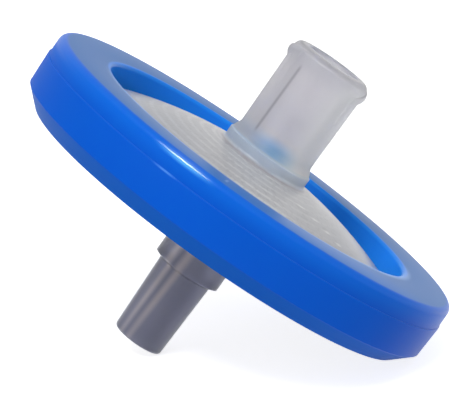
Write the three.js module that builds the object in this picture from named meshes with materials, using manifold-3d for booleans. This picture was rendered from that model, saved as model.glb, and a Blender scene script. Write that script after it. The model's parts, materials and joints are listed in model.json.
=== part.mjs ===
import * as THREE from 'three';
import { mergeVertices, toCreasedNormals } from 'three/addons/utils/BufferGeometryUtils.js';
import Module from 'manifold-3d';

// A disc syringe filter, in millimetres: two translucent housings hold a filter membrane
// between their ribbed faces, and an outer ring is moulded round their flanges.
// Heights are measured along the filter's axis from the ring's top face, up towards the inlet.

const RING_FACETS = 48; // flats round the ring and the membrane
const HOUSING_FACETS = 32; // flats round each housing
const DOME_STEPS = 5; // straight steps from the boss to the rim of a domed plate
const ROUND_STEPS = 2; // straight steps round a small edge

// Outer ring
const RING_RADIUS = 18;
const RING_HEIGHT = 5.6;
const RING_WIDTH = 4.6; // from the wall to the bore
const RING_WALL = 2.3; // plastic outside the flanges' groove
const RING_TOP_ROUND = 0.55;
const RING_BORE_ROUND = 0.3;
const PARTING_DEPTH = 1.7; // the mould's parting line runs round the wall here
const PARTING_STEP = 0.08;
const SKIRT_DRAFT = 0.1;
const SKIRT_BEVEL_HEIGHT = 1.3;
const SKIRT_BEVEL_WIDTH = 1.35;

// Flanges, stacked inside the ring's groove with the membrane between them
const FLANGE_DEPTH = 1.85; // inlet flange below the ring's top face
const FLANGE_THICKNESS = 0.65;
const MEMBRANE_MARGIN = 1.3; // flange edge to membrane edge
const MEMBRANE_THICKNESS = 0.15;
const SEAT_GAP = 0.2; // between pieces that seat on each other

// Domed plates
const INLET_CROWN = 0.8; // crown of the inlet plate above the ring's top face
const OUTLET_CROWN = 0.25; // crown of the outlet plate below the ring's bottom face
const PLATE_THICKNESS = 0.8;

// Concentric ribs, broken by radial channels that lead to and from the middle
const RIB_START_RADIUS = 4.5;
const RIB_PITCH = 1;
const RIB_WIDTH = 0.45;
const RIB_DRAFT = 0.06; // taken off each side of a rib towards its crest
const INLET_RIB_HEIGHT = 0.3;
const CHANNEL_COUNT = 6;
const CHANNEL_WIDTH = 1.1;
const CHANNEL_DEPTH = 0.1; // below the ribs' feet
const CHANNEL_TURN = -3.6; // degrees from the side that the filter lies on

// Inlet hub: a female fitting with a 6 % socket and two locking lugs
const BOSS_RADIUS = 3.6;
const BOSS_TOP = 1.65;
const BOSS_FILLET = 0.35;
const BOSS_BEVEL = 0.12;
const HUB_FOOT_RADIUS = 3.2;
const HUB_FOOT_RISE = 0.65; // the boss slopes up into the hub over this height
const HUB_RIM_RADIUS = 3.28;
const HUB_TOP = 9.85;
const HUB_RIM_ROUND = 0.55;
const SOCKET_MOUTH_RADIUS = 2.145;
const SOCKET_DEPTH = 7.7;
const SOCKET_LEAD_IN = 0.12;
const FEED_HOLE_RADIUS = 0.9;
const LUG_RADIUS = 3.52;
const LUG_ROOT = 0.3; // how deep a lug starts inside the hub's wall
const LUG_ARC = 110; // degrees
const LUG_DEPTH = 2.5; // underside of a lug below the rim, at its low end
const LUG_THICKNESS = 1.4; // at its root
const LUG_TOP_DEPTH = 0.25; // no part of a lug comes nearer to the rim's plane
const LUG_LEAD = 5; // rise of the helical lug in one turn
const LUG_TURN = -245; // degrees from the side that the filter lies on
const LUG_STEPS = 10;
const LUG_SECTION = [[0, 0], [1, 0.46], [1, 0.79], [0, 1]]; // outwards and up, as shares of its size
const LUG_END_REACH = 0.2; // share of a lug's width that is left at its ends

// Outlet: a collar and a male tip with the same 6 % taper
const COLLAR_RADIUS = 2.77;
const COLLAR_FILLET = 0.6;
const SHOULDER_DEPTH = 9.68; // below the ring's top face
const SHOULDER_BEVEL = 0.25;
const TIP_ROOT_RADIUS = 2.23;
const TIP_LENGTH = 6.4;
const TIP_ROUND = 0.3;
const OUTLET_BORE_RADIUS = 1;
const TAPER = 0.06; // change of diameter per length

// Radii and planes of the stack
const ringBoreRadius = RING_RADIUS - RING_WIDTH;
const grooveRadius = RING_RADIUS - RING_WALL;
const flangeRadius = grooveRadius - SEAT_GAP;
const membraneRadius = flangeRadius - MEMBRANE_MARGIN;
const flangeTop = -FLANGE_DEPTH;
const inletSealPlane = flangeTop - FLANGE_THICKNESS;
const membraneTop = inletSealPlane - SEAT_GAP;
const membraneBottom = membraneTop - MEMBRANE_THICKNESS;
const outletSealPlane = membraneBottom - SEAT_GAP;
const flangeBottom = outletSealPlane - FLANGE_THICKNESS;

const wasm = await Module();
wasm.setup();

const radians = THREE.MathUtils.degToRad;

function at(radius, height) {
  return new THREE.Vector2(radius, height);
}

function arc(centre, radius, start, end, steps) {
  return Array.from({ length: steps + 1 }, (_, i) => {
    const angle = radians(THREE.MathUtils.lerp(start, end, i / steps));
    return at(centre.x + radius * Math.cos(angle), centre.y + radius * Math.sin(angle));
  });
}

// A spherical cap that bulges towards +1 or -1 from its rim.
function dome(rimRadius, rimHeight, crownHeight) {
  const rise = Math.abs(crownHeight - rimHeight);
  return {
    crown: crownHeight,
    bulge: Math.sign(crownHeight - rimHeight),
    radius: (rimRadius ** 2 + rise ** 2) / (2 * rise),
  };
}

function innerDome(outer, thickness) {
  return { ...outer, crown: outer.crown - outer.bulge * thickness, radius: outer.radius - thickness };
}

function domeHeight({ crown, bulge, radius }, r) {
  return crown - bulge * (radius - Math.sqrt(radius ** 2 - r ** 2));
}

function domeRadiusAt({ crown, bulge, radius }, height) {
  const drop = bulge * (crown - height);
  return Math.sqrt(2 * radius * drop - drop ** 2);
}

function domePoints(cap, radii) {
  return radii.map((r) => at(r, domeHeight(cap, r)));
}

function evenRadii(start, end) {
  return Array.from({ length: DOME_STEPS + 1 }, (_, i) => THREE.MathUtils.lerp(start, end, i / DOME_STEPS));
}

function toSolid(geometry) {
  geometry.deleteAttribute('normal');
  geometry.deleteAttribute('uv');
  const merged = mergeVertices(geometry);
  const vertProperties = new Float32Array(merged.attributes.position.array);
  const triVerts = [];
  for (let i = 0; i < merged.index.count; i += 3) {
    const [a, b, c] = [0, 1, 2].map((k) => merged.index.getX(i + k));
    if (a !== b && b !== c && c !== a) triVerts.push(a, b, c);
  }
  const mesh = new wasm.Mesh({ numProp: 3, vertProperties, triVerts: new Uint32Array(triVerts) });
  return new wasm.Manifold(mesh);
}

function join(solids) {
  return solids.reduce((whole, next) => whole.add(next));
}

// Turns a closed (radius, height) outline about Z. Its flats touch the true circle, and one
// of them faces +X.
function turned(outline, facets) {
  const half = Math.PI / facets;
  const corners = outline.map((p) => at(p.x / Math.cos(half), p.y));
  if (THREE.ShapeUtils.isClockWise(corners)) corners.reverse();
  const geometry = new THREE.LatheGeometry([...corners, corners[0]], facets, half);
  return toSolid(geometry.rotateX(Math.PI / 2));
}

function radialPattern(count, makeOne) {
  return Array.from({ length: count }, (_, i) => makeOne((i * 360) / count));
}

function ribRadii(chamberRadius) {
  const radii = [];
  for (let r = RIB_START_RADIUS; r + RIB_WIDTH < chamberRadius; r += RIB_PITCH) radii.push(r);
  return radii;
}

// The chamber side of a plate, from its hole out to the seal, with ribs up to crest(radius).
function ribbedFace(plate, holeRadius, chamberRadius, crest) {
  const half = RIB_WIDTH / 2;
  const ribs = ribRadii(chamberRadius).flatMap((r) => [
    at(r - half, domeHeight(plate, r - half)),
    at(r - half + RIB_DRAFT, crest(r)),
    at(r + half - RIB_DRAFT, crest(r)),
    at(r + half, domeHeight(plate, r + half)),
  ]);
  return [...domePoints(plate, [holeRadius]), ...ribs, ...domePoints(plate, [chamberRadius])];
}

// What is cut away for the channels: a star of bars that reaches just into the plate.
function channels(plate, chamberRadius) {
  const length = ribRadii(chamberRadius).at(-1) + RIB_WIDTH;
  const open = plate.crown - plate.bulge * RING_HEIGHT;
  const deeper = plate.bulge * CHANNEL_DEPTH;
  const floor = domePoints(plate, evenRadii(0, length)).map((p) => at(p.x, p.y + deeper));
  const chamber = turned([...floor, at(length, open), at(0, open)], HOUSING_FACETS);
  const bars = radialPattern(CHANNEL_COUNT, (turn) => {
    const bar = new THREE.BoxGeometry(length, CHANNEL_WIDTH, 4 * RING_HEIGHT);
    return toSolid(bar.translate(length / 2, 0, 0).rotateZ(radians(CHANNEL_TURN + turn)));
  });
  return join(bars).intersect(chamber);
}

// A locking lug: a right-hand helical ridge that swells out of the hub, climbs to the rim and
// sinks back into it.
function lug(turn) {
  const section = new THREE.Shape(LUG_SECTION.map(([x, y]) => at(x, y)));
  const options = { depth: 1, steps: LUG_STEPS, bevelEnabled: false };
  const geometry = new THREE.ExtrudeGeometry(section, options);
  const root = HUB_RIM_RADIUS - LUG_ROOT;
  const position = geometry.attributes.position;
  for (let i = 0; i < position.count; i += 1) {
    const share = 1 - position.getZ(i);
    const angle = share * radians(LUG_ARC);
    const swell = THREE.MathUtils.lerp(LUG_END_REACH, 1, Math.sin(Math.PI * share));
    const radius = root + position.getX(i) * swell * (LUG_RADIUS - root);
    const underside = HUB_TOP - LUG_DEPTH + (LUG_LEAD * angle) / (2 * Math.PI);
    const height = Math.min(underside + position.getY(i) * LUG_THICKNESS, HUB_TOP - LUG_TOP_DEPTH);
    position.setXYZ(i, radius * Math.cos(angle), radius * Math.sin(angle), height);
  }
  return toSolid(geometry.rotateZ(radians(LUG_TURN + turn)));
}

function ringOutline() {
  const upperRadius = RING_RADIUS - PARTING_STEP;
  const skirtRadius = RING_RADIUS - SKIRT_DRAFT;
  const grooveTop = flangeTop + SEAT_GAP;
  const grooveBottom = flangeBottom - SEAT_GAP;
  const bottom = -RING_HEIGHT;
  const boreEdge = ringBoreRadius + RING_BORE_ROUND;
  return [
    at(grooveRadius, grooveBottom),
    at(ringBoreRadius, grooveBottom),
    ...arc(at(boreEdge, bottom + RING_BORE_ROUND), RING_BORE_ROUND, 180, 270, ROUND_STEPS),
    at(skirtRadius - SKIRT_BEVEL_WIDTH, bottom),
    at(skirtRadius, bottom + SKIRT_BEVEL_HEIGHT),
    at(RING_RADIUS, -PARTING_DEPTH),
    at(upperRadius, -PARTING_DEPTH),
    ...arc(at(upperRadius - RING_TOP_ROUND, -RING_TOP_ROUND), RING_TOP_ROUND, 0, 90, ROUND_STEPS),
    ...arc(at(boreEdge, -RING_BORE_ROUND), RING_BORE_ROUND, 90, 180, ROUND_STEPS),
    at(ringBoreRadius, grooveTop),
    at(grooveRadius, grooveTop),
  ];
}

function inletHousing() {
  const outer = dome(ringBoreRadius, flangeTop, INLET_CROWN);
  const inner = innerDome(outer, PLATE_THICKNESS);
  const chamberRadius = domeRadiusAt(inner, inletSealPlane);
  const filletRadius = BOSS_RADIUS + BOSS_FILLET;
  const socketFloorRadius = SOCKET_MOUTH_RADIUS - (TAPER / 2) * SOCKET_DEPTH;
  const crest = (r) => domeHeight(inner, r) - INLET_RIB_HEIGHT;
  const outline = [
    ...ribbedFace(inner, FEED_HOLE_RADIUS, chamberRadius, crest),
    at(flangeRadius, inletSealPlane),
    at(flangeRadius, flangeTop),
    ...domePoints(outer, evenRadii(ringBoreRadius, filletRadius)),
    at(BOSS_RADIUS, domeHeight(outer, BOSS_RADIUS) + BOSS_FILLET),
    at(BOSS_RADIUS, BOSS_TOP - BOSS_BEVEL),
    at(BOSS_RADIUS - BOSS_BEVEL, BOSS_TOP),
    at(HUB_FOOT_RADIUS, BOSS_TOP + HUB_FOOT_RISE),
    ...arc(at(HUB_RIM_RADIUS - HUB_RIM_ROUND, HUB_TOP - HUB_RIM_ROUND), HUB_RIM_ROUND, 0, 90, ROUND_STEPS),
    at(SOCKET_MOUTH_RADIUS + SOCKET_LEAD_IN, HUB_TOP),
    at(SOCKET_MOUTH_RADIUS, HUB_TOP - SOCKET_LEAD_IN),
    at(socketFloorRadius, HUB_TOP - SOCKET_DEPTH),
    at(FEED_HOLE_RADIUS, HUB_TOP - SOCKET_DEPTH),
  ];
  const body = turned(outline, HOUSING_FACETS).subtract(channels(inner, chamberRadius));
  return join([body, ...radialPattern(2, lug)]);
}

function outletDomes() {
  const outer = dome(ringBoreRadius, flangeBottom, -RING_HEIGHT - OUTLET_CROWN);
  return { outer, inner: innerDome(outer, PLATE_THICKNESS) };
}

function outletOutline() {
  const { outer, inner } = outletDomes();
  const chamberRadius = domeRadiusAt(inner, outletSealPlane);
  const tipEnd = -SHOULDER_DEPTH - TIP_LENGTH;
  const tipEndRadius = TIP_ROOT_RADIUS - (TAPER / 2) * TIP_LENGTH;
  const collarRoot = COLLAR_RADIUS + COLLAR_FILLET;
  return [
    at(OUTLET_BORE_RADIUS, tipEnd),
    ...arc(at(tipEndRadius - TIP_ROUND, tipEnd + TIP_ROUND), TIP_ROUND, -90, 0, ROUND_STEPS),
    at(TIP_ROOT_RADIUS, -SHOULDER_DEPTH),
    at(COLLAR_RADIUS, -SHOULDER_DEPTH + SHOULDER_BEVEL),
    at(COLLAR_RADIUS, domeHeight(outer, COLLAR_RADIUS) - COLLAR_FILLET),
    ...domePoints(outer, evenRadii(collarRoot, ringBoreRadius)),
    at(flangeRadius, flangeBottom),
    at(flangeRadius, outletSealPlane),
    ...ribbedFace(inner, OUTLET_BORE_RADIUS, chamberRadius, () => outletSealPlane).reverse(),
  ];
}

function outletHousing() {
  const { inner } = outletDomes();
  const chamberRadius = domeRadiusAt(inner, outletSealPlane);
  return turned(outletOutline(), HOUSING_FACETS).subtract(channels(inner, chamberRadius));
}

function membrane() {
  const outline = [
    at(0, membraneBottom),
    at(membraneRadius, membraneBottom),
    at(membraneRadius, membraneTop),
    at(0, membraneTop),
  ];
  return turned(outline, RING_FACETS);
}

// How far an outline reaches below the ring's centre once the axis is tilted.
function reach(outline, tilt) {
  return Math.max(...outline.map((p) => p.x * Math.sin(tilt) - p.y * Math.cos(tilt)));
}

// Laid on a table, the filter leans until its ring and its outlet tip both touch.
function lyingTilt(ring, outlet) {
  let low = 0;
  let high = Math.PI / 2;
  for (let i = 0; i < 50; i += 1) {
    const tilt = (low + high) / 2;
    if (reach(outlet, tilt) > reach(ring, tilt)) low = tilt;
    else high = tilt;
  }
  return low;
}

function piece(name, solid, look) {
  const { numProp, vertProperties, triVerts } = solid.getMesh();
  const geometry = new THREE.BufferGeometry();
  geometry.setAttribute('position', new THREE.BufferAttribute(vertProperties, numProp));
  geometry.setIndex(new THREE.BufferAttribute(triVerts, 1));
  const mesh = new THREE.Mesh(toCreasedNormals(geometry, radians(30)), new THREE.MeshStandardMaterial(look));
  mesh.name = name;
  return mesh;
}

const bluePlastic = { color: '#1268d8', roughness: 0.4, metalness: 0 };
const naturalPlastic = { color: '#d9dde2', roughness: 0.35, metalness: 0, transparent: true, opacity: 0.7 };
const whiteFilter = { color: '#f4f4f0', roughness: 0.9, metalness: 0 };

const filter = new THREE.Group();
filter.add(
  piece('outer_ring', turned(ringOutline(), RING_FACETS), bluePlastic),
  piece('inlet_housing', inletHousing(), naturalPlastic),
  piece('outlet_housing', outletHousing(), naturalPlastic),
  piece('membrane', membrane(), whiteFilter),
);
filter.rotation.y = lyingTilt(ringOutline(), outletOutline());
filter.updateMatrixWorld(true);

const box = new THREE.Box3().setFromObject(filter, true);
const middle = box.getCenter(new THREE.Vector3());
filter.position.set(-middle.x, -middle.y, -box.min.z);

const group = new THREE.Group();
group.add(filter);

export default group;
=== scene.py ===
import json
from math import atan2, cos, pi, radians, sin, sqrt

import bmesh
import bpy
from mathutils import Matrix, Vector


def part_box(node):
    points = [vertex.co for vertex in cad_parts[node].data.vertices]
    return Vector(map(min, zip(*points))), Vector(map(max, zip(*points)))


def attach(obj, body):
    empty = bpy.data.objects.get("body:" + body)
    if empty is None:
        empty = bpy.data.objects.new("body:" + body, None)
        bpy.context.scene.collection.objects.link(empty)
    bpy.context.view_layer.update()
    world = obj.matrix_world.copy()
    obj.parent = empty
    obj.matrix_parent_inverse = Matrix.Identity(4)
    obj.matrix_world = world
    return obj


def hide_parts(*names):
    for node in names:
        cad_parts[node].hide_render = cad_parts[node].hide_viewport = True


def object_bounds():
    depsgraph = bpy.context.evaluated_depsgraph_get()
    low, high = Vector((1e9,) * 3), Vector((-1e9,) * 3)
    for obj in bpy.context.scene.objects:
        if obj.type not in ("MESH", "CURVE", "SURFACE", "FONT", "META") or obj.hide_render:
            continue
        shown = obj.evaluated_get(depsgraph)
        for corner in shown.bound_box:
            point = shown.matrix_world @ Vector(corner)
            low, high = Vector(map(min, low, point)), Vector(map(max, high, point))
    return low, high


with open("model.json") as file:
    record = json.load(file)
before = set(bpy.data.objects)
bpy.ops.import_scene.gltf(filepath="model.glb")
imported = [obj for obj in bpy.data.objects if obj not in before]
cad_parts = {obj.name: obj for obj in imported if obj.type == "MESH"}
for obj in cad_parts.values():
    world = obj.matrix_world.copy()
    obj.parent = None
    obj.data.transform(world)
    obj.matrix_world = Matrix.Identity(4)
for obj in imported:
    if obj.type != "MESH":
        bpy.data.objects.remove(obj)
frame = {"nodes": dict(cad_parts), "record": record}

cadBox = [list(corner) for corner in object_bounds()]
mm = 0.001

# The filter's own axes as it lies: from the ring's top face, and the membrane's middle
topFace = next(mount for mount in frame["record"]["mounts"] if mount["name"] == "ring_top")
axis = Vector(topFace["axis"]).normalized()
membraneLow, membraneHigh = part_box("membrane")
membraneMiddle = (membraneLow + membraneHigh) / 2
middle = membraneMiddle + axis * (Vector(topFace["pos_m"]) - membraneMiddle).dot(axis)
lowSide = Vector((axis.z, 0, -axis.x))  # straight down the slope of the disc
lying = Matrix((lowSide, axis.cross(lowSide), axis)).transposed().to_4x4()
lying.translation = middle

# Heights and radii that pieces share, in mm from the middle of the ring's top face
stack = {
    "ringHeight": 5.6,
    "boreRadius": 13.4,
    "flangeRadius": 15.5,
    "inletFlangeTop": -1.85,
    "inletSeal": -2.5,
    "outletSeal": -3.05,
    "outletFlangeBottom": -3.7,
    "partingDepth": 1.7,
    "bevelHeight": 1.3,
    "ribStart": 4.5,
    "ribPitch": 1.0,
    "turnSteps": 240,
    "stepsPerRib": 8,
}
sameSpot = 1e-8  # corners closer than this, in metres, are one


# Shapes

def arc(centre, radius, start, end, steps=6):
    angles = [radians(start + (end - start) * i / steps) for i in range(steps + 1)]
    return [(centre[0] + radius * cos(a), centre[1] + radius * sin(a)) for a in angles]


def domeOver(rimRadius, rimHeight, crown):
    rise = abs(crown - rimHeight)
    bulge = 1 if crown > rimHeight else -1
    return {"crown": crown, "bulge": bulge, "radius": (rimRadius ** 2 + rise ** 2) / (2 * rise)}


def domeInside(dome, wall):
    return {"crown": dome["crown"] - dome["bulge"] * wall, "bulge": dome["bulge"],
            "radius": dome["radius"] - wall}


def domeHeight(dome, r):
    return dome["crown"] - dome["bulge"] * (dome["radius"] - sqrt(dome["radius"] ** 2 - r ** 2))


def domeRadiusAt(dome, height):
    drop = dome["bulge"] * (dome["crown"] - height)
    return sqrt(2 * dome["radius"] * drop - drop ** 2)


def domePoints(dome, start, end, steps=10):
    radii = [start + (end - start) * i / steps for i in range(steps + 1)]
    return [(r, domeHeight(dome, r)) for r in radii]


def ringedPoints(dome, start, end, depth, lastRadius):
    # a dome whose skin has sunk a little over each rib behind it
    first, pitch = stack["ribStart"], stack["ribPitch"]
    count = round(abs(end - start) / pitch * stack["stepsPerRib"])
    points = []
    for r, h in domePoints(dome, start, end, count):
        inside = first - pitch / 2 < r < lastRadius
        sink = depth * (1 + cos(2 * pi * (r - first) / pitch)) / 2 if inside else 0
        points.append((r, h - dome["bulge"] * sink))
    return points


def turned(outline, turn=360, steps=stack["turnSteps"]):
    # a closed outline of (radius, height) spun round the axis, or part of a turn of it
    bm = bmesh.new()
    corners = [bm.verts.new((r * mm, 0, h * mm)) for r, h in outline]
    if turn == 360:
        edges = [bm.edges.new(pair) for pair in zip(corners, corners[1:] + corners[:1])]
        bmesh.ops.spin(bm, geom=corners + edges, axis=(0, 0, 1), angle=2 * pi, steps=steps,
                       use_merge=True)
    else:
        start = bm.faces.new(corners)
        bmesh.ops.spin(bm, geom=[start], axis=(0, 0, 1), angle=radians(turn), steps=steps)
    bmesh.ops.remove_doubles(bm, verts=bm.verts, dist=sameSpot)
    bmesh.ops.recalc_face_normals(bm, faces=bm.faces)
    return bm


def pieceFrom(bm, name):
    mesh = bpy.data.meshes.new(name)
    bm.to_mesh(mesh)
    bm.free()
    piece = bpy.data.objects.new(name, mesh)
    bpy.context.scene.collection.objects.link(piece)
    return piece


def combine(piece, tools, operation):
    for tool in tools:
        modifier = piece.modifiers.new(operation.lower(), "BOOLEAN")
        modifier.operation = operation
        modifier.solver = "EXACT"
        modifier.object = tool
    bpy.context.view_layer.update()
    evaluated = piece.evaluated_get(bpy.context.evaluated_depsgraph_get())
    result = bpy.data.meshes.new_from_object(evaluated)
    piece.modifiers.clear()
    piece.data = result
    for tool in tools:
        bpy.data.objects.remove(tool)


def finishPiece(piece, material, cadNode, sharpAngle=30):
    piece.data.transform(lying)
    piece.data.shade_smooth()
    piece.data.set_sharp_from_angle(angle=radians(sharpAngle))
    piece.data.materials.clear()
    piece.data.materials.append(material)
    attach(piece, "root")
    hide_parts(cadNode)


# Materials

def linear(hexColour):
    channels = [int(hexColour[i:i + 2], 16) / 255 for i in (1, 3, 5)]
    return [c / 12.92 if c <= 0.04045 else ((c + 0.055) / 1.055) ** 2.4 for c in channels] + [1]


def addNode(tree, kind, settings=None, inputs=None):
    # An input is a value, a hex colour, a socket, or a node whose first live output feeds it
    node = tree.nodes.new(kind)
    for key, value in (settings or {}).items():
        setattr(node, key, value)
    for key, value in (inputs or {}).items():
        if isinstance(value, bpy.types.Node):
            value = next(output for output in value.outputs if output.enabled)
        if isinstance(value, bpy.types.NodeSocket):
            tree.links.new(value, node.inputs[key])
        else:
            node.inputs[key].default_value = linear(value) if isinstance(value, str) else value
    return node


def newMaterial(name):
    material = bpy.data.materials.new(name)
    material.use_nodes = True
    material.node_tree.nodes.clear()
    return material, material.node_tree


def placeOn(tree):
    # Object coordinates turned back to the filter's own axes, in mm and degrees: the point
    # itself, how far it is down the slope and across it, its distance from the axis, its
    # height over the ring's top face and its turn from the low side
    coordinates = addNode(tree, "ShaderNodeTexCoord")
    point = addNode(tree, "ShaderNodeMapping", {"vector_type": "TEXTURE"},
                    {"Vector": coordinates.outputs["Object"], "Location": middle,
                     "Rotation": lying.to_euler(), "Scale": (mm, mm, mm)})
    parts = addNode(tree, "ShaderNodeSeparateXYZ", None, {0: point})
    down, across, height = parts.outputs
    flat = addNode(tree, "ShaderNodeVectorMath", {"operation": "MULTIPLY"},
                   {0: point, 1: (1, 1, 0)})
    radius = addNode(tree, "ShaderNodeVectorMath", {"operation": "LENGTH"}, {0: flat})
    turn = addNode(tree, "ShaderNodeMath", {"operation": "ARCTAN2"}, {0: across, 1: down})
    turn = addNode(tree, "ShaderNodeMath", {"operation": "DEGREES"}, {0: turn})
    return {"point": point, "down": down, "across": across, "radius": radius, "height": height,
            "turn": turn}


def mask(tree, *parts):
    # A share made by multiplying its parts. A part is a number, another share, or a smooth fade
    # (value, start, end), which goes from 0 to 1 unless two more numbers say otherwise
    total = None
    for part in parts:
        if isinstance(part, tuple):
            value, start, end, low, high = (*part, 0, 1)[:5]
            part = addNode(tree, "ShaderNodeMapRange", {"interpolation_type": "SMOOTHSTEP"},
                           {"Value": value, "From Min": start, "From Max": end,
                            "To Min": low, "To Max": high})
        if total is not None:
            part = addNode(tree, "ShaderNodeMath", {"operation": "MULTIPLY"}, {0: total, 1: part})
        total = part
    return total


def band(value, centre, halfWidth):
    # the two fades that meet at a band's centre
    return (value, centre - halfWidth, centre), (value, centre + halfWidth, centre)


def painted(tree, colour, *layers):
    # Each layer is a tone, its strongest share, and the parts of the mask that bounds it
    for tone, share, *parts in layers:
        colour = addNode(tree, "ShaderNodeMix", {"data_type": "RGBA"},
                         {0: mask(tree, *parts, share), 6: colour, 7: tone})
    return colour


# Tones, and how much of each covers what is under it. A fade is its start and end, a band its
# centre and half its width, in mm, or in degrees from the low side
bluePlastic = {
    "deepTone": "#0457c9",
    "paleTone": "#055dd2",
    "cloudSize": 7,
    "wallFade": (17.25, 17.6),
    # painted sheen: the top face is a paler, greyer blue for the white it reflects at a low angle
    "faceSheenTone": "#0c69b8",
    "faceFade": (-0.5, -0.05),
    # painted sheen: paler still on the top face's near side
    "nearSheenTone": "#1874d6",
    "nearLightShare": 0.5,
    "nearLightFade": (-9, -15),
    "glowTone": "#0d69da",  # light that enters the top face leaves by the wall's upper edge
    "glowFade": (-1.9, -0.3),
    # painted glow: the bore's wall is a lighter azure for light coming through the thin ring
    "boreGlowTone": "#2289fa",
    "boreGlowFade": (stack["boreRadius"] + 0.5, stack["boreRadius"] + 0.2),
    # painted highlight: a thin lighter line where the parting ledge catches the light
    "partingSheenTone": "#4f93ee",
    "partingSheenShare": 0.15,
    "partingSheenBand": (-stack["partingDepth"], 0.07),
    # painted highlight: a brighter glint on the parting ledge facing the lamp
    "ledgeGlintTone": "#6db2ff",
    "ledgeGlintShare": 0.5,
    "ledgeGlintBand": (-stack["partingDepth"] - 0.03, 0.13),
    "ledgeGlintTurn": (-122.3, 4.5),
    "highlightFlankTone": "#5cbcff",  # a painted highlight beside the gloss of the rounded edge
    "highlightFlankShare": 0.8,
    "highlightFlankBand": (-0.46, 0.32),
    "highlightFlankTurn": (-119.7, 10),
    # painted highlight: a pale line on the bore's rounded edge, on the near side
    "rimHighlightTone": "#8db8f2",
    "rimHighlightShare": 0.6,
    "rimHighlightBand": (stack["boreRadius"] + 0.35, 0.5),
    "rimHighlightFade": (2, -6),
    "gateTone": "#b4cdf4",
    "gateShare": 0.5,
    "gateBand": (15.5, 1.1),
    "gateTurn": (-110, 0.7),
    # painted: the down-facing bevel a little more azure, for how light falls on it
    "bevelPaintedTone": "#0960c8",
    "bevelFade": (stack["bevelHeight"] - stack["ringHeight"],
                  stack["bevelHeight"] - stack["ringHeight"] - 0.15),
    "polishBand": (-0.28, 0.3),  # the rounded edge is glossy here and catches the lamp
    "polishTurn": (-119.7, 9),
    "polishLeast": 0.08,
    "polishRise": 0.9,
    "dullFade": (-0.5, -1.2),
    "dullDown": (-6, -14),
    "roughness": (0.34, 0.52),
    "skinSize": 0.3,
    "skinDepth": 0.004,
    "skinStrength": 0.25,
}


def bluePolypropylene():
    # Injection-moulded polypropylene with a blue masterbatch: light goes a little way in, so
    # thin edges glow azure; the bevel and the wall's high side are duller from the mould. Its
    # colour also carries painted sheen, glow and highlights: on the top face, on the wall's upper
    # edge, in the bore, along the parting ledge, beside the rounded edge, on the bore's near edge
    # and on the bevel
    look = bluePlastic
    material, tree = newMaterial("bluePolypropyleneMoulded")
    place = placeOn(tree)
    height, radius, turn = place["height"], place["radius"], place["turn"]
    cloud = addNode(tree, "ShaderNodeTexNoise", None,
                    {"Vector": place["point"], "Scale": 1 / look["cloudSize"], "Detail": 2})
    wall = mask(tree, (radius, *look["wallFade"]))
    face = mask(tree, (height, *look["faceFade"]))
    bevel = mask(tree, (height, *look["bevelFade"]))
    colour = painted(
        tree, look["deepTone"],
        (look["paleTone"], 1, cloud),
        # painted sheen on the top face, more on its near side
        (look["faceSheenTone"], 1, face),
        (look["nearSheenTone"], look["nearLightShare"], face, (place["across"], *look["nearLightFade"])),
        (look["glowTone"], 1, wall, (height, *look["glowFade"])),
        # painted glow in the bore
        (look["boreGlowTone"], 1, (radius, *look["boreGlowFade"])),
        # painted highlight along the parting ledge
        (look["partingSheenTone"], look["partingSheenShare"], wall, *band(height, *look["partingSheenBand"])),
        # painted glint on the parting ledge
        (look["ledgeGlintTone"], look["ledgeGlintShare"], wall, *band(height, *look["ledgeGlintBand"]),
         *band(turn, *look["ledgeGlintTurn"])),
        # painted highlight beside the rounded edge's gloss
        (look["highlightFlankTone"], look["highlightFlankShare"], wall, *band(height, *look["highlightFlankBand"]),
         *band(turn, *look["highlightFlankTurn"])),
        # painted highlight on the bore's near rounded edge
        (look["rimHighlightTone"], look["rimHighlightShare"], face, *band(radius, *look["rimHighlightBand"]),
         (place["across"], *look["rimHighlightFade"])),
        (look["gateTone"], look["gateShare"], face, *band(radius, *look["gateBand"]),
         *band(turn, *look["gateTurn"])),
        # painted tone on the bevel, for how light falls on it
        (look["bevelPaintedTone"], 1, bevel),
    )
    highSide = mask(tree, (height, *look["dullFade"]), (place["down"], *look["dullDown"]))
    dull = addNode(tree, "ShaderNodeMath", {"operation": "MAXIMUM"}, {0: bevel, 1: highSide})
    gloss = addNode(tree, "ShaderNodeMath", {"operation": "MULTIPLY_ADD"},
                    {0: mask(tree, *band(turn, *look["polishTurn"])),
                     1: look["polishRise"], 2: look["polishLeast"]})
    polish = mask(tree, *band(height, *look["polishBand"]), wall, gloss)
    grain = addNode(tree, "ShaderNodeTexNoise", None,
                    {"Vector": place["point"], "Scale": 1 / look["skinSize"], "Detail": 3})
    skin = addNode(tree, "ShaderNodeBump", None,
                   {"Height": grain, "Distance": look["skinDepth"] * mm,
                    "Strength": look["skinStrength"]})
    plastic = addNode(tree, "ShaderNodeBsdfPrincipled", None,
                      {"Base Color": colour, "Roughness": mask(tree, (dull, 0, 1, *look["roughness"])),
                       "IOR": 1.49, "Specular IOR Level": 0.055,
                       "Coat Weight": polish, "Coat Roughness": 0.07, "Coat IOR": 1.8,
                       "Subsurface Weight": 0.35, "Subsurface Radius": (0.25, 0.6, 1.0),
                       "Subsurface Scale": 1.2 * mm, "Normal": skin})
    addNode(tree, "ShaderNodeOutputMaterial", None, {"Surface": plastic})
    return material


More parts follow.
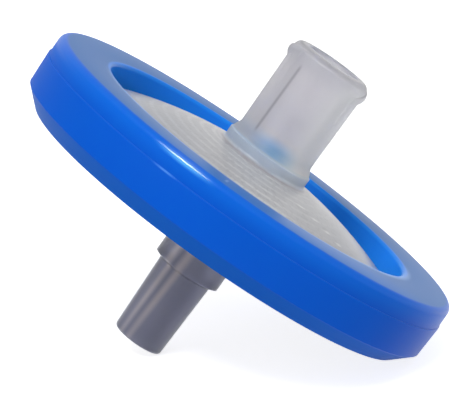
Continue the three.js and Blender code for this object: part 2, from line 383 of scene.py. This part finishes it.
# What both housings share. Some fades end with their lowest and highest share
naturalPlastic = {
    "flowSize": 2.5,
    "roughness": (0.28, 0.34),
    "skinDepth": 0.002,
    "skinStrength": 0.15,
    "plateStart": (3.9, 4.3),
    "plateEnd": (12.9, 12.5),
    "plateTransmission": 0.3,
    # the ribs' grooves show darker; painted shade makes them stronger up the slope
    "ringDown": (5, -3, 0.3, 1),
    "ringFlow": (0.3, 0.6, 0.4, 1),
    "grooveShare": 0.5,
    # painted light: the plate paler on the near side of the boss, where shade falls
    "nearLightShare": 0.7,
    "nearLightBand": (-1, 4.5),
    "nearLightFade": (-2, -5),
    # painted shade: the plate darker towards both ends of the slope
    "endsShadeShare": 0.5,
    "endsShadeFade": (4, 9),
    # painted blue light from the ring at the plate's edge
    "edgeBlueShare": 0.75,
    "edgeBlueFade": (9.5, 12.5),
    "speckleShare": 0.35,
    "speckleSize": 0.35,
    "speckleFade": (0.5, 0.65),
    "glintShare": 0.65,
    "glintTurn": -105,  # a row of glints where a straight channel cuts the ribs
    "glintBand": (5, 0.45),
    "glintStart": (3, 3.6),
    "glintEnd": (9, 8.4),
    "glintFade": (0.3, 0.9),
    "hubInside": (2.7, 2.9),
    "hubOutside": (3.8, 3.5),
    # painted refraction: the hub's foot is blue where the ring's light comes through it, most on the
    # near side
    "refractedBlueTone": "#80c6ff",
    "refractedBlueStart": (1.2, 1.9),
    "refractedBlueEnd": (3.3, 2.2),
    "refractedBlueTurn": (-96, 54),
    "refractedBlueLeast": 0.2,
    "refractedBlueRise": 0.75,
    "footRoughness": 0.2,
    # painted light: the hub paler on its side away from the lamp, and less clear there
    "paleSideShare": 0.9,
    "paleSideFade": (10.6, 8.6),
    "paleSideTurn": (-50, 62),
    "paleSideMilky": 0.9,
    # painted: the boss blue-grey for the ring's light in it, paler on the side away from the lamp
    "bossRingBlueTone": "#c0d3e6",
    "bossPaleSideTone": "#f4fbff",
    "bossStart": (0.3, 0.5),
    "bossEnd": (1.75, 1.65),
    "bossMilky": 0.7,
    # painted shade: the hub's top darker
    "topShadeTone": "#d2d2d8",
    "topShadeFade": (7.5, 9.5, 0, 0.8),
    "topRoughness": 0.15,
    # painted shade inside the socket's mouth
    "mouthShadeTone": "#cfcfd5",
    "mouthShadeShare": 0.8,
    "mouthInside": (2.7, 2.4),
    "mouthFade": (7.8, 9.2),
    # painted shade: a thin dark line up the hub, seen through its milky wall
    "darkLineTone": "#74747e",
    "darkLineShare": 0.55,
    "darkLineStart": (2.3, 2.9),
    "darkLineEnd": (8.7, 8.1),
    "darkLineTurn": (-142.5, 4),  # at the level of the ring's top face, if it went down so far
    "darkLineSlope": 0.34,  # degrees for each mm up
    # painted shade: darker towards the tip's end
    "tipShadeFade": (-12, -16.2, 0, 0.5),
    # painted highlights: lighter streaks down the outlet's tip for the lamps' reflections
    "highlightStreakTone": "#efe4e0",
    "highlightStreakFade": (-16, -11, 0.35, 0.75),
    "highlightStreakSlope": 1.4,
    "highlightStreakHalfTurn": 12,
    # painted shade: a dark strip down one side of the tip
    "shadeStripShare": 0.8,
    "shadeStripHalfTurn": 27,
}

inletLook = {
    "hub": "#e6e4e8",
    "plate": "#e0e0e2",
    "groove": "#b2b3b9",
    "plateNearLight": "#ffffff",
    "plateEndsShade": "#b4bac8",
    "plateEdgeBlueLight": "#9cb2d8",
    "speckle": "#adaeb2",
    "glint": "#ffffff",
    "side": "#ffffff",
    "transmission": 0.62,
    "highlightStreakTurns": [],
    "shadeStripTurns": [],
}
# the same plastic, painted darker all over: painted shade, for the outlet lying in the ring's shadow
outletShadedLook = {
    "hub": "#9c9eb4",
    "plate": "#a9aabc",
    # the grooves' tone, also used for the painted shade at the tip's end and in its dark strip
    "groove": "#6c6f88",
    "plateNearLight": "#a9aabc",
    "plateEndsShade": "#9c9eb4",
    "plateEdgeBlueLight": "#8d96b4",
    "speckle": "#8f91a6",
    "glint": "#a9aabc",
    "side": "#9c9eb4",
    "transmission": 0.5,
    "highlightStreakTurns": [-126, -103],
    "shadeStripTurns": [-170],
}


def ribbedPlateColour(tree, place, flow, look):
    # rings where the ribs stand behind the plate, darker in their grooves and, by painted shade,
    # stronger up the slope; painted light near the boss, painted shade at both ends, painted blue
    # light from the ring at the edge, fine speckle, and a painted row of glints
    both = naturalPlastic
    perMm = 2 * pi / stack["ribPitch"]
    phase = addNode(tree, "ShaderNodeMath", {"operation": "MULTIPLY_ADD"},
                    {0: place["radius"], 1: perMm, 2: -perMm * stack["ribStart"]})
    wave = addNode(tree, "ShaderNodeMath", {"operation": "COSINE"}, {0: phase})
    rings = mask(tree, (wave, 0, 1), (place["down"], *both["ringDown"]), (flow, *both["ringFlow"]))
    between = addNode(tree, "ShaderNodeMath", {"operation": "SUBTRACT"}, {0: 1.0, 1: rings})
    away = addNode(tree, "ShaderNodeMath", {"operation": "ABSOLUTE"}, {0: place["down"]})
    grit = addNode(tree, "ShaderNodeTexNoise", None,
                   {"Vector": place["point"], "Scale": 1 / both["speckleSize"], "Detail": 3})
    channel = addNode(tree, "ShaderNodeVectorRotate", {"rotation_type": "Z_AXIS"},
                      {"Vector": place["point"], "Angle": -radians(both["glintTurn"])})
    aside, along = addNode(tree, "ShaderNodeSeparateXYZ", None, {0: channel}).outputs[:2]
    return painted(
        tree, look["plate"],
        # painted light near the boss
        (look["plateNearLight"], both["nearLightShare"], *band(place["down"], *both["nearLightBand"]),
         (place["across"], *both["nearLightFade"])),
        # painted shade at both ends
        (look["plateEndsShade"], both["endsShadeShare"], (away, *both["endsShadeFade"])),
        # grooves between the rings, stronger up the slope by painted shade
        (look["groove"], both["grooveShare"], between),
        # painted blue light from the ring
        (look["plateEdgeBlueLight"], both["edgeBlueShare"], (place["radius"], *both["edgeBlueFade"])),
        (look["speckle"], both["speckleShare"], (grit, *both["speckleFade"])),
        (look["glint"], both["glintShare"], *band(aside, *both["glintBand"]),
         (along, *both["glintStart"]), (along, *both["glintEnd"]), (wave, *both["glintFade"])),
    )


def naturalPolypropylene(name, look):
    # Uncoloured polypropylene is milky: part of the light passes and is blurred by the
    # moulded skin, the rest is scattered inside. Light and shade are also painted in: blue
    # from the ring on the hub's foot and boss, a paler side away from the lamp, a darker top and
    # mouth, and a thin dark line up the hub
    both = naturalPlastic
    material, tree = newMaterial(name)
    place = placeOn(tree)
    height, radius, turn = place["height"], place["radius"], place["turn"]
    flow = addNode(tree, "ShaderNodeTexNoise", None,
                   {"Vector": place["point"], "Scale": 1 / both["flowSize"], "Detail": 3})
    plate = mask(tree, (radius, *both["plateStart"]), (radius, *both["plateEnd"]))
    hub = mask(tree, (radius, *both["hubInside"]), (radius, *both["hubOutside"]))
    foot = mask(tree, hub, (height, *both["refractedBlueStart"]), (height, *both["refractedBlueEnd"]))
    refractedBlueSide = addNode(tree, "ShaderNodeMath", {"operation": "MULTIPLY_ADD"},
                       {0: mask(tree, *band(turn, *both["refractedBlueTurn"])),
                        1: both["refractedBlueRise"], 2: both["refractedBlueLeast"]})
    side = mask(tree, hub, (height, *both["paleSideFade"]), *band(turn, *both["paleSideTurn"]),
                both["paleSideShare"])
    elsewhere = addNode(tree, "ShaderNodeMath", {"operation": "SUBTRACT"}, {0: 1.0, 1: side})
    boss = mask(tree, hub, (height, *both["bossStart"]), (height, *both["bossEnd"]))
    top = mask(tree, hub, (height, *both["topShadeFade"]), elsewhere)
    # both lines lean: their turn changes with the height
    darkLineTurn, highlightStreakTurn = [addNode(tree, "ShaderNodeMath", {"operation": "MULTIPLY_ADD"},
                                    {0: height, 1: -both[slope], 2: turn})
                            for slope in ("darkLineSlope", "highlightStreakSlope")]
    # painted highlight streaks and painted shade strips on the tip
    highlightStreaks = [(both["highlightStreakTone"], 1, *band(highlightStreakTurn, centre, both["highlightStreakHalfTurn"]),
                (height, *both["highlightStreakFade"])) for centre in look["highlightStreakTurns"]]
    shadeStrips = [(look["groove"], both["shadeStripShare"], *band(turn, centre, both["shadeStripHalfTurn"]))
             for centre in look["shadeStripTurns"]]
    colour = painted(
        tree, look["hub"],
        (ribbedPlateColour(tree, place, flow, look), 1, plate),
        # painted blue light from the ring on the hub's foot
        (both["refractedBlueTone"], 1, foot, refractedBlueSide),
        # painted light on the hub's side away from the lamp, where shade falls
        (look["side"], 1, side),
        # painted blue light from the ring on the boss
        (painted(tree, both["bossRingBlueTone"], (both["bossPaleSideTone"], 1, side)), 1, boss),
        # painted shade on the hub's top
        (both["topShadeTone"], 1, top),
        # painted shade inside the mouth
        (both["mouthShadeTone"], both["mouthShadeShare"], (radius, *both["mouthInside"]),
         (height, *both["mouthFade"])),
        # painted dark line up the hub
        (both["darkLineTone"], both["darkLineShare"], *band(darkLineTurn, *both["darkLineTurn"]), hub,
         (height, *both["darkLineStart"]), (height, *both["darkLineEnd"])),
        # painted shade towards the tip's end
        (look["groove"], 1, (height, *both["tipShadeFade"])),
        *highlightStreaks,
        *shadeStrips,
    )
    rough = mask(tree, (flow, 0, 1, *both["roughness"]))
    for share, rise in ((foot, both["footRoughness"]), (top, both["topRoughness"])):
        rough = addNode(tree, "ShaderNodeMath", {"operation": "MULTIPLY_ADD"},
                        {0: share, 1: rise, 2: rough})
    milky = plate
    for share in (mask(tree, boss, both["bossMilky"]), mask(tree, side, both["paleSideMilky"])):
        milky = addNode(tree, "ShaderNodeMath", {"operation": "MAXIMUM"}, {0: milky, 1: share})
    clear = addNode(tree, "ShaderNodeMath", {"operation": "MULTIPLY_ADD"},
                    {0: milky, 1: both["plateTransmission"] - look["transmission"],
                     2: look["transmission"]})
    skin = addNode(tree, "ShaderNodeBump", None,
                   {"Height": flow, "Distance": both["skinDepth"] * mm,
                    "Strength": both["skinStrength"]})
    plastic = addNode(tree, "ShaderNodeBsdfPrincipled", None,
                      {"Base Color": colour, "Roughness": rough, "IOR": 1.49,
                       "Transmission Weight": clear, "Subsurface Weight": 1.0,
                       "Subsurface Radius": (1, 1, 1), "Subsurface Scale": 0.8 * mm,
                       "Normal": skin})
    addNode(tree, "ShaderNodeOutputMaterial", None, {"Surface": plastic})
    return material


membraneLook = {
    "deepTone": "#e9e9e6",
    "paleTone": "#f6f6f3",
    "mottleSize": 0.2,
    "roughness": 0.95,
}


def whiteMembrane():
    # Cast microporous film, dead matt: its pores are under a micrometre and too fine to show,
    # so they are drawn as a faint mottle
    look = membraneLook
    material, tree = newMaterial("microporousMembraneCast")
    mottle = addNode(tree, "ShaderNodeTexNoise", None,
                     {"Vector": placeOn(tree)["point"], "Scale": 1 / look["mottleSize"], "Detail": 4})
    colour = painted(tree, look["deepTone"], (look["paleTone"], 1, mottle))
    film = addNode(tree, "ShaderNodeBsdfPrincipled", None,
                   {"Base Color": colour, "Roughness": look["roughness"], "Specular IOR Level": 0.2})
    addNode(tree, "ShaderNodeOutputMaterial", None, {"Surface": film})
    return material


blue = bluePolypropylene()
natural = naturalPolypropylene("naturalPolypropyleneMoulded", inletLook)
# the outlet's copy of the same plastic, painted darker for shade
shaded = naturalPolypropylene("naturalPolypropyleneShaded", outletShadedLook)
print("materials made")


# Outer ring

ringSizes = {
    "radius": 18,
    "topRound": 0.55,
    "boreRound": 0.3,
    "partingStep": 0.08,
    "partingRound": 0.06,
    "skirtDraft": 0.1,
    "bevelWidth": 1.35,
    "gap": 0.03,  # drawn nearly closed: the ring is moulded onto the flanges
}


def makeRing():
    size = ringSizes
    bottom = -stack["ringHeight"]
    bore = stack["boreRadius"]
    upper = size["radius"] - size["partingStep"]
    skirt = size["radius"] - size["skirtDraft"]
    groove = stack["flangeRadius"] + size["gap"]
    grooveTop = stack["inletFlangeTop"] + size["gap"]
    grooveBottom = stack["outletFlangeBottom"] - size["gap"]
    ledgeCentre = (size["radius"] - size["partingRound"],
                   -stack["partingDepth"] - size["partingRound"])
    outline = [
        (groove, grooveBottom),
        (bore, grooveBottom),
        *arc((bore + size["boreRound"], bottom + size["boreRound"]), size["boreRound"], 180, 270),
        (skirt - size["bevelWidth"], bottom),
        (skirt, bottom + stack["bevelHeight"]),
        *arc(ledgeCentre, size["partingRound"], 0, 90, 3),
        (upper, -stack["partingDepth"]),
        *arc((upper - size["topRound"], -size["topRound"]), size["topRound"], 0, 90),
        *arc((bore + size["boreRound"], -size["boreRound"]), size["boreRound"], 90, 180),
        (bore, grooveTop),
        (groove, grooveTop),
    ]
    ring = pieceFrom(turned(outline), "outerRingMoulded")
    finishPiece(ring, blue, "outer_ring")


makeRing()
print("ring made")


# Ribbed chambers of both housings

ribSizes = {
    "width": 0.45,
    "draft": 0.06,
    "channels": 6,
    "channelWidth": 1.1,
    "channelDepth": 0.1,
    "channelTurn": -3.6,
    "channelStart": 0.2,
    "cutterReach": 4,  # from the plate's crown, so that a cutter goes through the whole chamber
}


def ribRadii(chamberRadius):
    radii = []
    r = stack["ribStart"]
    while r + ribSizes["width"] < chamberRadius:
        radii.append(r)
        r += stack["ribPitch"]
    return radii


def ribbedFace(plate, holeRadius, chamberRadius, crest):
    half = ribSizes["width"] / 2
    points = [(holeRadius, domeHeight(plate, holeRadius))]
    for r in ribRadii(chamberRadius):
        points += [
            (r - half, domeHeight(plate, r - half)),
            (r - half + ribSizes["draft"], crest(r)),
            (r + half - ribSizes["draft"], crest(r)),
            (r + half, domeHeight(plate, r + half)),
        ]
    return points + [(chamberRadius, domeHeight(plate, chamberRadius))]


def channelBars(plate, chamberRadius):
    # a cutter for each channel, as wide as it is: the plate's curve sunk by the channel's depth,
    # and the chamber's space over it
    start = ribSizes["channelStart"]
    length = ribRadii(chamberRadius)[-1] + ribSizes["width"]
    depth = plate["bulge"] * ribSizes["channelDepth"]
    reach = plate["crown"] - plate["bulge"] * ribSizes["cutterReach"]
    outline = [(r, h + depth) for r, h in domePoints(plate, start, length)]
    outline += [(length, reach), (start, reach)]
    half = ribSizes["channelWidth"] / 2
    bars = []
    for i in range(ribSizes["channels"]):
        bm = bmesh.new()
        face = bm.faces.new([bm.verts.new((r * mm, -half * mm, h * mm)) for r, h in outline])
        made = bmesh.ops.extrude_face_region(bm, geom=[face])
        moved = [v for v in made["geom"] if isinstance(v, bmesh.types.BMVert)]
        bmesh.ops.translate(bm, verts=moved, vec=(0, 2 * half * mm, 0))
        bmesh.ops.recalc_face_normals(bm, faces=bm.faces)
        turn = radians(ribSizes["channelTurn"] + 360 * i / ribSizes["channels"])
        bmesh.ops.rotate(bm, verts=bm.verts, cent=(0, 0, 0), matrix=Matrix.Rotation(turn, 3, "Z"))
        bars.append(pieceFrom(bm, f"channelBar{i}"))
    return bars


# Inlet housing

inletSizes = {
    "crown": 0.8,
    "wall": 0.8,
    "sinkDepth": 0.006,
    "ribHeight": 0.3,
    "bossRadius": 3.6,
    "bossTop": 1.65,
    "bossFillet": 0.35,
    "bossBevel": 0.12,
    "footRise": 0.65,
    "hubFoot": 3.2,
    "hubRim": 3.28,
    "hubTop": 9.85,
    "rimRound": 0.55,
    "socketMouth": 2.145,
    "socketDepth": 7.7,
    "taper": 0.06,
    "leadIn": 0.12,
    "feedHole": 0.9,
    "lugRadius": 3.52,
    "lugRoot": 0.3,
    "lugArc": 110,
    "lugDepth": 2.5,
    "lugThickness": 1.4,
    "lugTopDepth": 0.25,
    "lugLead": 5,
    "lugTurn": -245,
    # how far outwards and up, as shares of the lug's reach and thickness
    "lugSection": [(0, 0), (0.55, 0.22), (0.88, 0.42), (1, 0.6), (0.88, 0.8), (0, 1)],
    "lugEndReach": 0.2,
    "lugSteps": 32,
}


def makeLug(turn):
    # the section is spun at 1 to 2 mm from the axis, and its shares are then turned to sizes:
    # a ridge that swells out of the hub, climbs as a thread and sinks back into the rim
    size = inletSizes
    root = size["hubRim"] - size["lugRoot"]
    bm = turned([(1 + out, up) for out, up in size["lugSection"]], turn=size["lugArc"],
                steps=size["lugSteps"])
    for vert in bm.verts:
        out = vert.co.xy.length / mm - 1
        up = vert.co.z / mm
        angle = atan2(vert.co.y, vert.co.x)
        swell = sin(pi * angle / radians(size["lugArc"]))
        reach = size["lugEndReach"] + (1 - size["lugEndReach"]) * swell
        underside = size["hubTop"] - size["lugDepth"] + size["lugLead"] * angle / (2 * pi)
        radius = root + out * reach * (size["lugRadius"] - root)
        height = min(underside + up * size["lugThickness"], size["hubTop"] - size["lugTopDepth"])
        vert.co = Vector((radius * cos(angle), radius * sin(angle), height)) * mm
    place = Matrix.Rotation(radians(turn), 3, "Z")
    bmesh.ops.rotate(bm, verts=bm.verts, cent=(0, 0, 0), matrix=place)
    return pieceFrom(bm, "lug")


def makeInletHousing():
    size = inletSizes
    outer = domeOver(stack["boreRadius"], stack["inletFlangeTop"], size["crown"])
    inner = domeInside(outer, size["wall"])
    chamber = domeRadiusAt(inner, stack["inletSeal"])
    filletRadius = size["bossRadius"] + size["bossFillet"]
    filletCentre = (filletRadius, domeHeight(outer, filletRadius) + size["bossFillet"])
    rimCentre = (size["hubRim"] - size["rimRound"], size["hubTop"] - size["rimRound"])
    socketFloor = size["hubTop"] - size["socketDepth"]
    outline = [
        *ribbedFace(inner, size["feedHole"], chamber,
                    lambda r: domeHeight(inner, r) - size["ribHeight"]),
        (stack["flangeRadius"], stack["inletSeal"]),
        (stack["flangeRadius"], stack["inletFlangeTop"]),
        *ringedPoints(outer, stack["boreRadius"], filletRadius, size["sinkDepth"], chamber),
        *arc(filletCentre, size["bossFillet"], 255, 180, 4),
        (size["bossRadius"], size["bossTop"] - size["bossBevel"]),
        (size["bossRadius"] - size["bossBevel"], size["bossTop"]),
        (size["hubFoot"], size["bossTop"] + size["footRise"]),
        *arc(rimCentre, size["rimRound"], 0, 90),
        (size["socketMouth"] + size["leadIn"], size["hubTop"]),
        (size["socketMouth"], size["hubTop"] - size["leadIn"]),
        (size["socketMouth"] - size["taper"] / 2 * size["socketDepth"], socketFloor),
        (size["feedHole"], socketFloor),
    ]
    housing = pieceFrom(turned(outline), "inletHousingMoulded")
    combine(housing, channelBars(inner, chamber), "DIFFERENCE")
    combine(housing, [makeLug(size["lugTurn"]), makeLug(size["lugTurn"] + 180)], "UNION")
    finishPiece(housing, natural, "inlet_housing")


makeInletHousing()
print("inlet housing made")


# Outlet housing

outletSizes = {
    "crown": 0.25,
    "wall": 0.8,
    "collarRadius": 2.77,
    "collarFillet": 0.6,
    "shoulderDepth": 9.68,
    "shoulderBevel": 0.25,
    "tipRoot": 2.23,
    "tipLength": 6.4,
    "tipRound": 0.3,
    "taper": 0.06,
    "boreRadius": 1.0,
}


def makeOutletHousing():
    size = outletSizes
    crown = -stack["ringHeight"] - size["crown"]
    outer = domeOver(stack["boreRadius"], stack["outletFlangeBottom"], crown)
    inner = domeInside(outer, size["wall"])
    chamber = domeRadiusAt(inner, stack["outletSeal"])
    tipEnd = -size["shoulderDepth"] - size["tipLength"]
    tipRadius = size["tipRoot"] - size["taper"] / 2 * size["tipLength"]
    filletRadius = size["collarRadius"] + size["collarFillet"]
    filletCentre = (filletRadius, domeHeight(outer, filletRadius) - size["collarFillet"])
    outline = [
        (size["boreRadius"], tipEnd),
        *arc((tipRadius - size["tipRound"], tipEnd + size["tipRound"]), size["tipRound"], -90, 0),
        (size["tipRoot"], -size["shoulderDepth"]),
        (size["collarRadius"], -size["shoulderDepth"] + size["shoulderBevel"]),
        *arc(filletCentre, size["collarFillet"], 180, 95, 5),
        *domePoints(outer, filletRadius, stack["boreRadius"]),
        (stack["flangeRadius"], stack["outletFlangeBottom"]),
        (stack["flangeRadius"], stack["outletSeal"]),
        *reversed(ribbedFace(inner, size["boreRadius"], chamber, lambda r: stack["outletSeal"])),
    ]
    housing = pieceFrom(turned(outline), "outletHousingMoulded")
    combine(housing, channelBars(inner, chamber), "DIFFERENCE")
    finishPiece(housing, shaded, "outlet_housing")


makeOutletHousing()
print("outlet housing made")

frame["nodes"]["membrane"].data.materials.clear()
frame["nodes"]["membrane"].data.materials.append(whiteMembrane())
print("membrane dressed")


# Floor, light and camera

# Lamp and floor in metres, camera in mm and degrees
studio = {
    "backdropTone": "#ffffff",
    "fillLevel": 0.46,
    "floorTone": "#e6e6e6",
    "floorShine": 0.8,  # brings the floor up to the backdrop's white where it is seen
    "floorSize": 3.0,
    "keyPosition": (-0.125, -0.29, 0.39),
    "keyAlong": (0.327, -0.378, -0.167),
    "keyLength": 0.26,
    "keyWidth": 0.13,
    "keyPower": 1.42,
    "cameraDistance": 264.1,
    "cameraTurn": 7.625,  # to the right of +Y
    "cameraTilt": 15.38,  # below level
    "aimAside": -0.292,  # from the middle of the box
    "aimUp": -0.461,
    "lens": 265.8,
    "clipStart": 5,
}


def seenDirectly(tree):
    # 1 where the camera, a reflection or a see-through surface looks at it
    path = addNode(tree, "ShaderNodeLightPath").outputs
    seen = addNode(tree, "ShaderNodeMath", {"operation": "MAXIMUM"},
                   {0: path["Is Camera Ray"], 1: path["Is Glossy Ray"]})
    return addNode(tree, "ShaderNodeMath", {"operation": "MAXIMUM"},
                   {0: seen, 1: path["Is Transmission Ray"]})


def makeWorld():
    world = bpy.data.worlds.new("studioWhite")
    bpy.context.scene.world = world
    world.use_nodes = True
    tree = world.node_tree
    tree.nodes.clear()
    white, soft = [addNode(tree, "ShaderNodeBackground", None,
                           {"Color": studio["backdropTone"], "Strength": strength})
                   for strength in (1, studio["fillLevel"])]
    both = addNode(tree, "ShaderNodeMixShader", None, {0: seenDirectly(tree), 1: soft, 2: white})
    addNode(tree, "ShaderNodeOutputWorld", None, {"Surface": both})


def makeFloor():
    # matt paper: it takes the object's shadow, and its own shine is seen but lights nothing
    material, tree = newMaterial("paperFloor")
    paper = addNode(tree, "ShaderNodeBsdfDiffuse", None, {"Color": studio["floorTone"]})
    shine = addNode(tree, "ShaderNodeEmission", None,
                    {"Color": studio["backdropTone"], "Strength": studio["floorShine"]})
    bright = addNode(tree, "ShaderNodeAddShader", None, {0: paper, 1: shine})
    both = addNode(tree, "ShaderNodeMixShader", None, {0: seenDirectly(tree), 1: paper, 2: bright})
    addNode(tree, "ShaderNodeOutputMaterial", None, {"Surface": both})
    bm = bmesh.new()
    bmesh.ops.create_grid(bm, x_segments=1, y_segments=1, size=studio["floorSize"] / 2)
    floor = pieceFrom(bm, "floor")
    floor.data.materials.append(material)


def makeKeyLamp():
    # a strip that faces the origin, with its length along one direction
    lamp = bpy.data.lights.new("keyStrip", "AREA")
    lamp.shape = "RECTANGLE"
    lamp.size = studio["keyLength"]
    lamp.size_y = studio["keyWidth"]
    lamp.energy = studio["keyPower"]
    holder = bpy.data.objects.new("keyStrip", lamp)
    bpy.context.scene.collection.objects.link(holder)
    along = Vector(studio["keyAlong"])
    back = Vector(studio["keyPosition"]).normalized()
    aside = (along - back * back.dot(along)).normalized()
    holder.matrix_world = Matrix((aside, back.cross(aside), back)).transposed().to_4x4()
    holder.location = studio["keyPosition"]


def makeCamera():
    turn = radians(studio["cameraTurn"])
    tilt = radians(studio["cameraTilt"])
    forward = Vector((sin(turn) * cos(tilt), cos(turn) * cos(tilt), -sin(tilt)))
    aside = Vector((cos(turn), -sin(turn), 0))
    upward = aside.cross(forward)
    boxMiddle = (Vector(cadBox[0]) + Vector(cadBox[1])) / 2
    lookAt = boxMiddle + (aside * studio["aimAside"] + upward * studio["aimUp"]) * mm
    camera = bpy.data.cameras.new("camera")
    camera.lens = studio["lens"]
    camera.clip_start = studio["clipStart"] * mm
    holder = bpy.data.objects.new("camera", camera)
    bpy.context.scene.collection.objects.link(holder)
    position = lookAt - forward * studio["cameraDistance"] * mm
    holder.location = position
    holder.rotation_euler = (lookAt - position).to_track_quat("-Z", "Y").to_euler()
    bpy.context.scene.camera = holder


makeWorld()
makeFloor()
makeKeyLamp()
makeCamera()
bpy.context.scene.view_settings.view_transform = "Standard"
print("studio made")
